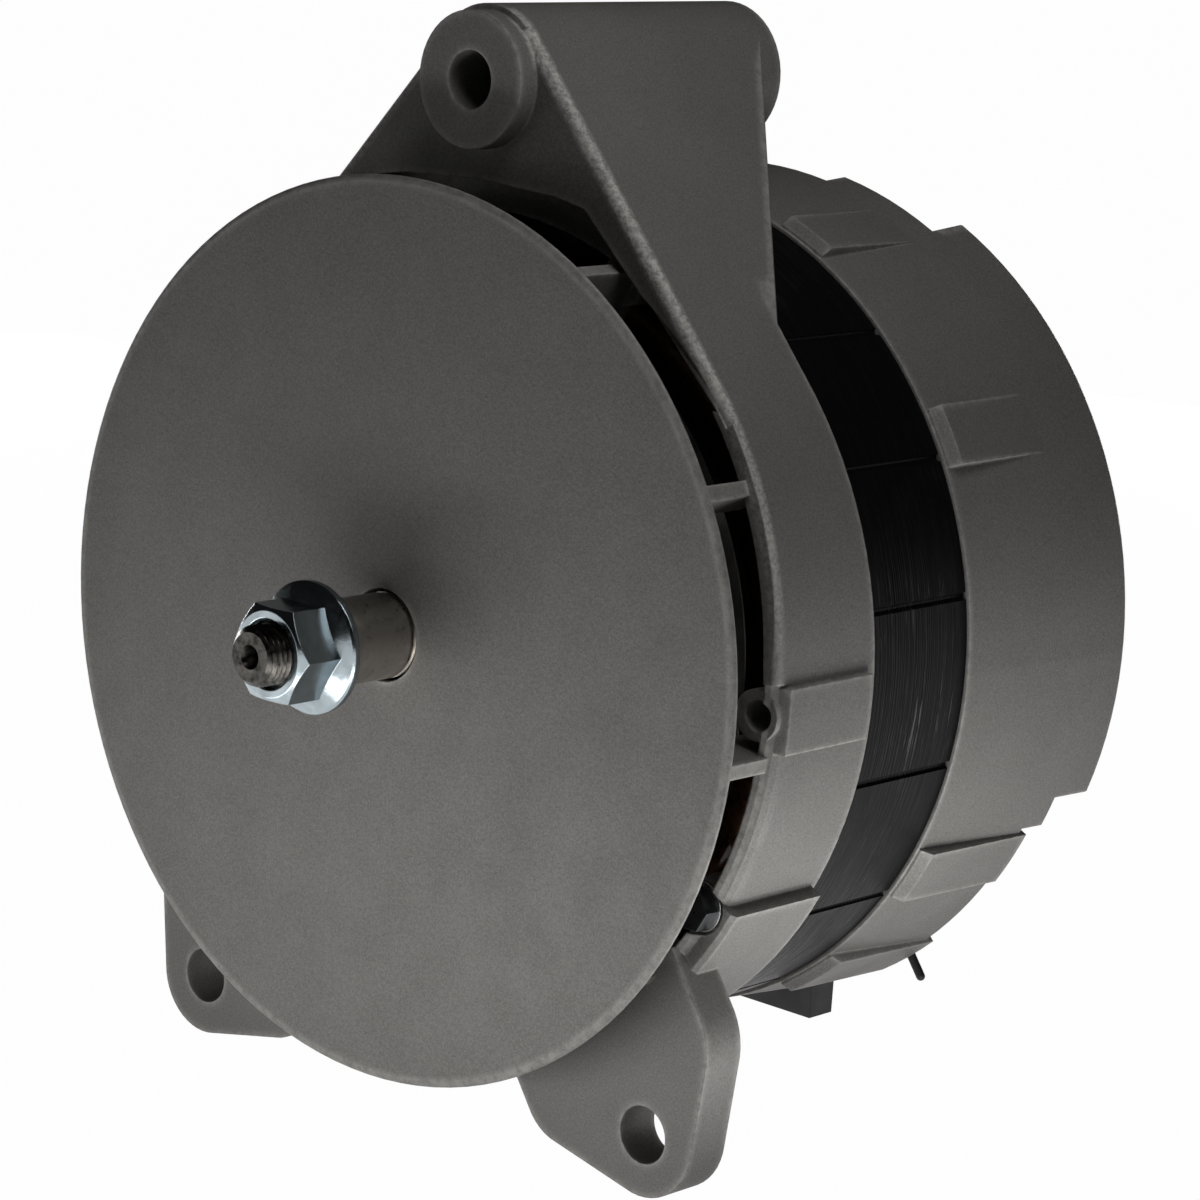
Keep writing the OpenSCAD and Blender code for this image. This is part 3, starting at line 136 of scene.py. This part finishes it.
class Shader:
    """A small helper that builds a node tree round one Principled shader."""

    def __init__(self, name):
        self.mat = bpy.data.materials.new(name)
        self.mat.use_nodes = True
        self.tree = self.mat.node_tree
        self.tree.nodes.clear()
        self.out = self.add("ShaderNodeOutputMaterial")
        self.bsdf = self.add("ShaderNodeBsdfPrincipled")
        self.join(self.bsdf.outputs[0], self.out.inputs["Surface"])
        self.place = self.add("ShaderNodeTexCoord").outputs["Object"]
        self.normal = None

    def add(self, kind, **values):
        """A new node, with its settings or its inputs' values."""
        n = self.tree.nodes.new(kind)
        for key, value in values.items():
            if hasattr(n, key):
                setattr(n, key, value)
            else:
                n.inputs[key].default_value = value
        return n

    def join(self, a, b):
        self.tree.links.new(a, b)

    def set(self, **values):
        for key, value in values.items():
            self.bsdf.inputs[key.replace("_", " ")].default_value = value

    def noise(self, scale, detail=2.0, rough=0.5, stretch=None):
        """Noise over the object's own space, drawn out along its axes by stretch."""
        source = self.place
        if stretch:
            m = self.add("ShaderNodeMapping")
            m.inputs["Scale"].default_value = stretch
            self.join(source, m.inputs["Vector"])
            source = m.outputs[0]
        n = self.add("ShaderNodeTexNoise")
        n.inputs["Scale"].default_value = scale
        n.inputs["Detail"].default_value = detail
        n.inputs["Roughness"].default_value = rough
        self.join(source, n.inputs["Vector"])
        return n.outputs["Fac"]

    def ramp(self, fac, stops):
        """A colour that follows fac through the stops."""
        r = self.add("ShaderNodeValToRGB")
        ramp = r.color_ramp
        while len(ramp.elements) < len(stops):
            ramp.elements.new(0.5)
        for element, (position, colour) in zip(ramp.elements, stops):
            element.position = position
            element.color = (*colour, 1)
        self.join(fac, r.inputs["Fac"])
        return r.outputs["Color"]

    def grey(self, fac, low, high, start=0.3, stop=0.7):
        """A number that goes from low to high as fac goes from start to stop."""
        m = self.add("ShaderNodeMapRange")
        for key, value in (("From Min", start), ("From Max", stop), ("To Min", low), ("To Max", high)):
            m.inputs[key].default_value = value
        self.join(fac, m.inputs["Value"])
        return m.outputs[0]

    def math(self, op, a, b=None):
        """One step of arithmetic on numbers or sockets."""
        m = self.add("ShaderNodeMath", operation=op)
        for socket, value in zip(m.inputs, (a, b)):
            if isinstance(value, (int, float)):
                socket.default_value = value
            elif value is not None:
                self.join(value, socket)
        return m.outputs[0]

    def mix(self, fac, a, b):
        """Colour a, going over to b as fac rises; each is a number, a colour or a socket."""
        m = self.add("ShaderNodeMix", data_type="RGBA")
        for socket, value in ((m.inputs[0], fac), (m.inputs[6], a), (m.inputs[7], b)):
            if isinstance(value, (int, float)):
                socket.default_value = value
            elif isinstance(value, tuple):
                socket.default_value = (*value, 1)
            else:
                self.join(value, socket)
        return m.outputs[2]

    def bump(self, height, distance, strength):
        """Relief on top of what already shapes the surface."""
        b = self.add("ShaderNodeBump")
        b.inputs["Distance"].default_value = distance
        b.inputs["Strength"].default_value = strength
        self.join(height, b.inputs["Height"])
        if self.normal is not None:
            self.join(self.normal, b.inputs["Normal"])
        self.normal = b.outputs[0]
        self.join(self.normal, self.bsdf.inputs["Normal"])

    def soft_edges(self, radius):
        """Rounds the look of sharp edges."""
        e = self.add("ShaderNodeBevel", samples=6)
        e.inputs["Radius"].default_value = radius
        self.normal = e.outputs[0]
        self.join(self.normal, self.bsdf.inputs["Normal"])

    def edge_mask(self, radius):
        """Light on sharp outer and inner edges."""
        e = self.add("ShaderNodeBevel", samples=6)
        e.inputs["Radius"].default_value = radius
        true = self.add("ShaderNodeNewGeometry").outputs["Normal"]
        dot = self.add("ShaderNodeVectorMath", operation="DOT_PRODUCT")
        self.join(e.outputs[0], dot.inputs[0])
        self.join(true, dot.inputs[1])
        return self.grey(dot.outputs["Value"], 1.0, 0.0, 0.93, 0.999)

    def ridge_mask(self, reach):
        """Light on rounded outer edges, found by looking inwards from the surface."""
        a = self.add("ShaderNodeAmbientOcclusion", samples=6, inside=True, only_local=True)
        a.inputs["Distance"].default_value = reach
        return self.grey(a.outputs["AO"], 1.0, 0.0, 0.5, 0.8)

    def web_ridge_highlight(self):
        """Painted highlight on the rubbed ridge along the web's front edge and on down the ring's
        front edge, fading out towards the bottom.
        """
        split = self.add("ShaderNodeSeparateXYZ")
        self.join(self.place, split.inputs[0])
        x, y, z = split.outputs
        side = self.math("ABSOLUTE", x)
        across = self.math("MULTIPLY", side, FLANK_ACROSS)
        flank = self.math("ADD", across, self.math("MULTIPLY", z, FLANK_UP))
        squares = self.math("ADD", self.math("MULTIPLY", x, x), self.math("MULTIPLY", z, z))
        radius = self.math("SQRT", squares)
        on_ring = self.math("LESS_THAN", z, self.math("MULTIPLY", side, FLANK_MEETS_RING))
        change = self.math("MULTIPLY", on_ring, self.math("SUBTRACT", radius, flank))
        reach = self.math("ADD", flank, change)
        front = self.grey(z, RING_FRONT_Y, WEB_FRONT_Y, SLANT_FROM_Z, SLANT_TO_Z)
        away = self.math("ABSOLUTE", self.math("SUBTRACT", reach, FLANK_REACH))
        set_back = self.math("SUBTRACT", self.math("SUBTRACT", y, front), RIDGE_INSET)
        near = self.math("MAXIMUM", away, self.math("ABSOLUTE", set_back))
        line = self.grey(near, 1.0, 0.0, RIDGE_FULL, RIDGE_GONE)
        return self.math("MULTIPLY", line, self.grey(z, 0.0, 1.0, 0.0, RIDGE_STARTS_Z))

    def colour(self, socket):
        self.join(socket, self.bsdf.inputs["Base Color"])

    def rough(self, socket):
        self.join(socket, self.bsdf.inputs["Roughness"])


def tone(base, factor):
    """The colour, made lighter or darker."""
    return tuple(min(1, c * factor) for c in base)


def tones(base, *factors):
    return [tone(base, f) for f in factors]


def cast_metal(name, base, grain=2600, rough=(0.5, 0.62), metallic=0.12, ridge=False):
    """Sand-cast metal: blotches, a fine grain, and lighter metal on edges, partly rub wear and partly
    a painted highlight.
    """
    s = Shader(name)
    s.soft_edges(CAST_EDGE)
    s.set(Metallic=metallic, Specular_IOR_Level=0.25)
    dark, mid, light = tones(base, 0.93, 1.0, 1.07)
    blotch = s.ramp(s.noise(38, 3, 0.6), [(0.3, dark), (0.5, mid), (0.7, light)])
    dark, light = tones(base, 0.45, 1.55)
    speck = s.ramp(s.noise(grain, 2, 0.7), [(0.3, dark), (0.7, light)])
    skin = s.mix(0.5, blotch, speck)
    # Edges painted lighter: partly rub wear, partly a painted highlight
    edges = s.math("MAXIMUM", s.edge_mask(EDGE_WEAR_AND_HIGHLIGHT), s.ridge_mask(WEAR_AND_HIGHLIGHT_REACH))
    edge_wear_and_highlight = s.math("MULTIPLY", edges, s.grey(s.noise(520, 3, 0.75), 0.3, 1.0, 0.35, 0.6))
    skin = s.mix(edge_wear_and_highlight, skin, tone(base, 2.0))
    # A painted highlight on the web's rubbed front ridge, in patches
    if ridge:
        patchy = s.grey(s.noise(900, 3, 0.8), 0.2, 1.0, 0.38, 0.6)
        ridge_wear_and_highlight = s.math("MULTIPLY", s.web_ridge_highlight(), patchy)
        skin = s.mix(ridge_wear_and_highlight, skin, tone(base, 2.9))
    s.colour(skin)
    s.rough(s.grey(s.noise(90, 3), *rough))
    s.bump(s.noise(grain * 0.5, 3, 0.65), 0.00012, 0.6)
    s.bump(s.noise(240, 3), 0.0003, 0.2)
    return s.mat


def turned_metal(name, base, rough):
    """Bare metal with the fine rings that turning leaves."""
    s = Shader(name)
    s.set(Metallic=1.0)
    lines = s.noise(1.0, 2, 0.6, stretch=(60, 9000, 60))
    dark, light = tones(base, 0.8, 1.15)
    s.colour(s.ramp(lines, [(0.3, dark), (0.7, light)]))
    s.rough(s.grey(lines, *rough))
    s.bump(lines, 0.00003, 0.5)
    return s.mat


def shaft_steel(name, base):
    """Turned steel that darkens to an oiled black on the shaft's thread and nose."""
    s = Shader(name)
    s.set(Metallic=1.0)
    split = s.add("ShaderNodeSeparateXYZ")
    s.join(s.place, split.inputs[0])
    fine = s.noise(700, 3, 0.6)
    nose = s.grey(split.outputs[1], 1.0, 0.0, OILED_FROM, OILED_TO)
    dark, light = tones(base, 0.92, 1.06)
    steel = s.ramp(fine, [(0.3, dark), (0.7, light)])
    dark, light = tones(base, 0.06, 0.24)
    oiled = s.ramp(fine, [(0.35, dark), (0.7, light)])
    s.colour(s.mix(nose, steel, oiled))
    s.rough(s.grey(fine, 0.26, 0.4))
    s.bump(fine, 0.00003, 0.3)
    return s.mat


def plated_metal(name, base, rough):
    """Plated or pressed metal with a faint cloud."""
    s = Shader(name)
    s.soft_edges(FINE_EDGE)
    s.set(Metallic=1.0)
    cloud = s.noise(220, 3, 0.6)
    dark, light = tones(base, 0.86, 1.08)
    s.colour(s.ramp(cloud, [(0.35, dark), (0.65, light)]))
    s.rough(s.grey(cloud, *rough))
    s.bump(s.noise(900, 2), 0.00006, 0.35)
    return s.mat


def moulded(name, base, rough):
    """Moulded plastic or carbon with a fine grain."""
    s = Shader(name)
    s.soft_edges(FINE_EDGE)
    cloud = s.noise(70, 3)
    dark, light = tones(base, 0.8, 1.25)
    s.colour(s.ramp(cloud, [(0.3, dark), (0.7, light)]))
    s.rough(s.grey(s.noise(160, 2), *rough))
    s.bump(s.noise(1800, 2, 0.6), 0.00006, 0.5)
    return s.mat


def lacquered_laminations(name):
    """The stacked sheets of the stator core under black lacquer, with pale streaks in patches, partly
    scratches and partly a painted sheen in place of the lacquer's gloss.
    """
    s = Shader(name)
    s.set(Specular_IOR_Level=0.07)
    sheets = s.noise(1.0, 1, 0.5, stretch=(14, 2400, 14))
    runs = s.noise(1.0, 3, 0.6, stretch=(160, 1400, 160))
    patch = s.grey(s.noise(24, 3, 0.6), 0.0, 1.0, 0.5, 0.72)
    pale_lines = s.grey(s.math("MULTIPLY", runs, sheets), 0.0, 1.0, 0.31, 0.4)
    # Pale streaks: partly scratches, partly painted sheen
    scratch_and_sheen = s.math("MULTIPLY", pale_lines, patch)
    s.colour(s.mix(scratch_and_sheen, (0.0035, 0.0033, 0.0036), (0.1, 0.1, 0.106)))
    s.rough(s.grey(runs, 0.3, 0.48))
    s.bump(sheets, 0.0002, 0.8)
    s.bump(runs, 0.0001, 0.5)
    return s.mat


def wound_wire(name, base):
    """Varnished copper wire, strand by strand."""
    s = Shader(name)
    s.set(Metallic=0.6, Coat_Weight=0.6)
    strands = s.noise(1.0, 2, 0.5, stretch=(700, 900, 700))
    dark, light = tones(base, 0.55, 1.25)
    s.colour(s.ramp(strands, [(0.35, dark), (0.65, light)]))
    s.rough(s.grey(strands, 0.3, 0.5))
    s.bump(strands, 0.0004, 0.8)
    return s.mat


def sleeving(name, base):
    """Woven sleeving on the field coil's leads."""
    s = Shader(name)
    weave = s.add("ShaderNodeTexWave", Scale=900)
    s.join(s.place, weave.inputs["Vector"])
    dark, light = tones(base, 0.7, 1.2)
    s.colour(s.ramp(weave.outputs["Fac"], [(0.2, dark), (0.8, light)]))
    s.rough(s.grey(s.noise(200), 0.6, 0.8))
    s.bump(weave.outputs["Fac"], 0.0001, 0.6)
    return s.mat


MATERIALS = {
    "cast_aluminium": cast_metal("cast_aluminium", (0.152, 0.147, 0.139), ridge=True),
    "core_lacquer": lacquered_laminations("core_lacquer"),
    "winding": wound_wire("winding", (0.16, 0.07, 0.035)),
    "bright_zinc": plated_metal("bright_zinc", (0.4, 0.46, 0.49), (0.14, 0.26)),
    "zinc_steel": plated_metal("zinc_steel", (0.55, 0.56, 0.55), (0.25, 0.42)),
    "turned_steel": shaft_steel("turned_steel", (0.5, 0.47, 0.43)),
    "bearing_steel": turned_metal("bearing_steel", (0.62, 0.62, 0.6), (0.12, 0.22)),
    "pressed_steel": plated_metal("pressed_steel", (0.42, 0.42, 0.41), (0.32, 0.46)),
    "pole_iron": cast_metal("pole_iron", (0.16, 0.16, 0.17), 1800, (0.5, 0.65), 0.8),
    "black_plastic": moulded("black_plastic", (0.012, 0.012, 0.014), (0.5, 0.65)),
    "ivory_plastic": moulded("ivory_plastic", (0.72, 0.68, 0.55), (0.42, 0.58)),
    "red_plastic": moulded("red_plastic", (0.4, 0.05, 0.03), (0.25, 0.4)),
    "lead_sleeve": sleeving("lead_sleeve", (0.35, 0.12, 0.07)),
    "carbon": moulded("carbon", (0.05, 0.05, 0.05), (0.5, 0.7)),
    "copper": turned_metal("copper", (0.75, 0.36, 0.2), (0.25, 0.4)),
    "brass": turned_metal("brass", (0.66, 0.5, 0.22), (0.25, 0.4)),
    "sink_aluminium": plated_metal("sink_aluminium", (0.62, 0.62, 0.62), (0.3, 0.45)),
    "cage_brass": plated_metal("cage_brass", (0.6, 0.45, 0.2), (0.25, 0.4)),
}
# The ring's bolts: dark zinc darkened further with painted shade of their recess
DARK_SHADED_BOLTS = plated_metal("dark_shaded_bolts", (0.1, 0.105, 0.11), (0.25, 0.4))


def dress_nodes():
    """Each solid in the material of its slot; the bolts in the ring are darker and duller than the
    nuts, partly dark zinc and partly painted shade of the recess they sit in.
    """
    for row in frame["record"]["subparts"]:
        name = row["node"]
        material = DARK_SHADED_BOLTS if name == "lower_through_bolts" else MATERIALS[row["material_slot"]]
        nodes[name].data.materials.clear()
        nodes[name].data.materials.append(material)


def stand_in(obj, node, body):
    """The piece takes the node's place and body."""
    scene.collection.objects.link(obj)
    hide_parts(node)
    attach(obj, body)


def thread_radius(y):
    """The thread's radius at each angle, for one ring of points y along the shaft."""
    limit = THREAD_RADIUS
    if y < NOSE_CHAMFER_END:
        limit = min(limit, NOSE_RADIUS + (y - NOSE_END))
    if y > RUNOUT_START:
        limit = min(limit, THREAD_RADIUS - (y - RUNOUT_START) * RUNOUT_SLOPE)

    def at(angle):
        phase = (y / THREAD_PITCH - angle / FULL_TURN) % 1.0
        groove = THREAD_FLANK * (1 - abs(2 * phase - 1)) - THREAD_CREST
        cut = THREAD_DEPTH * min(1.0, max(0.0, groove))
        return min(limit, THREAD_RADIUS - cut)
    return at


def threaded_shaft():
    """The shaft with a cut thread on its nose, inside the plain solid's outline."""
    centre_hole = [(0.0, -30.0), (1.0, -30.0), (1.0, -32.6), (2.4, NOSE_END), (NOSE_RADIUS, NOSE_END)]
    steps = int((THREAD_END - THREAD_START) / THREAD_PITCH * RINGS_PER_TURN)
    thread = [THREAD_START + (THREAD_END - THREAD_START) * i / steps for i in range(steps + 1)]
    body = [(5.0, -20.0), (5.0, -18.5), (8.0, -18.5), (8.5, -18.0), (8.5, 0.0), (8.2, 0.0), (8.2, 1.2),
            (8.5, 1.2), (8.5, 29.1), (10.0, 29.1), (10.0, 93.5), (8.5, 93.5), (8.5, 107.0),
            (7.5, 107.0), (7.5, 116.5), (6.5, 117.5), (0.0, 117.5)]
    mesh = bmesh.new()

    def ring(radius_at, y):
        points = []
        for k in range(SHAFT_SIDES):
            angle = FULL_TURN * k / SHAFT_SIDES
            r = radius_at(angle)
            at = (r * math.sin(angle) * MM, y * MM, r * math.cos(angle) * MM)
            points.append(mesh.verts.new(at))
        return points

    def round_ring(r, y):
        return ring(lambda angle: max(r, LEAST_RADIUS), y)

    loops = [round_ring(r, y) for r, y in centre_hole]
    loops += [ring(thread_radius(y), y) for y in thread]
    loops += [round_ring(r, y) for r, y in body]
    for low, high in zip(loops, loops[1:]):
        for k in range(SHAFT_SIDES):
            n = (k + 1) % SHAFT_SIDES
            mesh.faces.new((low[k], low[n], high[n], high[k]))
    mesh.faces.new(loops[0])
    mesh.faces.new(list(reversed(loops[-1])))
    bmesh.ops.recalc_face_normals(mesh, faces=mesh.faces)
    data = bpy.data.meshes.new("threaded_shaft")
    mesh.to_mesh(data)
    mesh.free()
    data.materials.append(MATERIALS["turned_steel"])
    data.shade_smooth()
    data.set_sharp_from_angle(angle=math.radians(32))
    stand_in(bpy.data.objects.new("threaded_shaft", data), "shaft", "rotor")


def front_casting():
    """The drive-end casting with a thinner, tapered rim on its front plate."""
    source = nodes["drive_end_housing"].data
    normals = [c.vector.copy() for c in source.corner_normals]
    data = source.copy()
    data.name = "front_casting"
    rim_point = {}
    for v in data.vertices:
        r = math.hypot(v.co.x, v.co.z) / MM
        y = v.co.y / MM
        if r > RIM_INNER and RIM_FRONT < y < RIM_BACK:
            i = min(range(len(RIM_WAS)), key=lambda k: math.dist(RIM_WAS[k], (r, y)))
            rim_point[v.index] = i
            new_r, new_y = RIM_NOW[i]
            v.co = (v.co.x * new_r / r, new_y * MM, v.co.z * new_r / r)
    for face in data.polygons:
        # The plate's flat front and back keep their normals
        if abs(face.normal.y) >= 0.999 and not all(v in rim_point for v in face.vertices):
            continue
        for loop, v in zip(face.loop_indices, face.vertices):
            if v not in rim_point:
                continue
            i = rim_point[v]
            r0, y0 = RIM_NOW[max(0, i - 1)]
            r1, y1 = RIM_NOW[min(len(RIM_NOW) - 1, i + 1)]
            x, _, z = data.vertices[v].co
            out = Vector((x, 0, z)).normalized()
            normals[loop] = (out * (y1 - y0) - Vector((0, r1 - r0, 0))).normalized()
    data.normals_split_custom_set(normals)
    casting = bpy.data.objects.new("front_casting", data)
    stand_in(casting, "drive_end_housing", "housing")


def brush_springs():
    """Each brush's spring, as its own copy of the node's mesh, in the node's place on the housing."""
    for side, joint in (("inner", "first_brush_slide"), ("outer", "second_brush_slide")):
        node = f"{side}_brush_spring"
        spring = bpy.data.objects.new(f"{side}_spring", nodes[node].data.copy())
        stand_in(spring, node, "housing")
        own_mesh(spring)


def backdrop_rays(tree):
    """1 for the rays that show the white background: camera, glossy and transmission."""
    path = tree.nodes.new("ShaderNodeLightPath")
    total = path.outputs["Is Camera Ray"]
    for name in ("Is Glossy Ray", "Is Transmission Ray"):
        pick = tree.nodes.new("ShaderNodeMath")
        pick.operation = "MAXIMUM"
        tree.links.new(total, pick.inputs[0])
        tree.links.new(path.outputs[name], pick.inputs[1])
        total = pick.outputs[0]
    return total


def dim_world():
    """A faint even light from all round."""
    world = bpy.data.worlds.new("studio")
    scene.world = world
    world.use_nodes = True
    light = world.node_tree.nodes["Background"]
    light.inputs["Color"].default_value = (1, 1, 1, 1)
    light.inputs["Strength"].default_value = WORLD_LIGHT


def white_floor():
    """A pale floor that takes shadows and shows white."""
    bpy.ops.mesh.primitive_plane_add(size=FLOOR_SIZE, location=(0, 0, FLOOR_Z))
    floor = bpy.context.object
    floor.name = "floor"
    mat = bpy.data.materials.new("floor_white")
    mat.use_nodes = True
    tree = mat.node_tree
    tree.nodes.clear()
    out = tree.nodes.new("ShaderNodeOutputMaterial")
    paint = tree.nodes.new("ShaderNodeBsdfDiffuse")
    paint.inputs["Color"].default_value = (FLOOR_GREY, FLOOR_GREY, FLOOR_GREY, 1)
    glow = tree.nodes.new("ShaderNodeEmission")
    glow.inputs["Color"].default_value = (1, 1, 1, 1)
    share = tree.nodes.new("ShaderNodeMath")
    share.operation = "MULTIPLY"
    share.inputs[1].default_value = FLOOR_GLOW
    tree.links.new(backdrop_rays(tree), share.inputs[0])
    mix = tree.nodes.new("ShaderNodeMixShader")
    tree.links.new(share.outputs[0], mix.inputs["Fac"])
    tree.links.new(paint.outputs[0], mix.inputs[1])
    tree.links.new(glow.outputs[0], mix.inputs[2])
    tree.links.new(mix.outputs[0], out.inputs["Surface"])
    floor.data.materials.append(mat)


def lamp(name, at, target, size, power):
    """A soft rectangular lamp that faces the target."""
    light = bpy.data.lights.new(name, "AREA")
    light.shape = "RECTANGLE"
    light.size, light.size_y = size
    light.energy = power
    obj = bpy.data.objects.new(name, light)
    scene.collection.objects.link(obj)
    obj.location = at
    obj.visible_camera = False
    obj.rotation_euler = (Vector(target) - Vector(at)).to_track_quat("-Z", "Y").to_euler()


def stage_and_light():
    dim_world()
    white_floor()
    lamp("low_front", (0.01, -0.14, -0.095), (0, 0, -0.06), (0.3, 0.03), 0.31)
    lamp("low_right", (0.165, 0.05, -0.1), (0.165, 0.05, 1), (0.1, 0.08), 0.225)
    lamp("top", (0.15, 0.0, 0.33), (0.03, 0.03, 0.08), (0.2, 0.12), 0.26)
    lamp("web", (0.17, 0.0, 0.18), (0.05, 0.02, 0.08), (0.1, 0.1), 0.05)
    lamp("left_fill", (-0.9, 0.4, 0.0), (0, 0.05, 0), (0.4, 0.15), 3.0)
    lamp("rear_fill", (-0.3, 1.0, 0.0), (0, 0.1, 0), (0.5, 0.3), 3.0)


dress_nodes()
threaded_shaft()
front_casting()
brush_springs()
add_camera()
stage_and_light()

scene.view_settings.view_transform = "Standard"
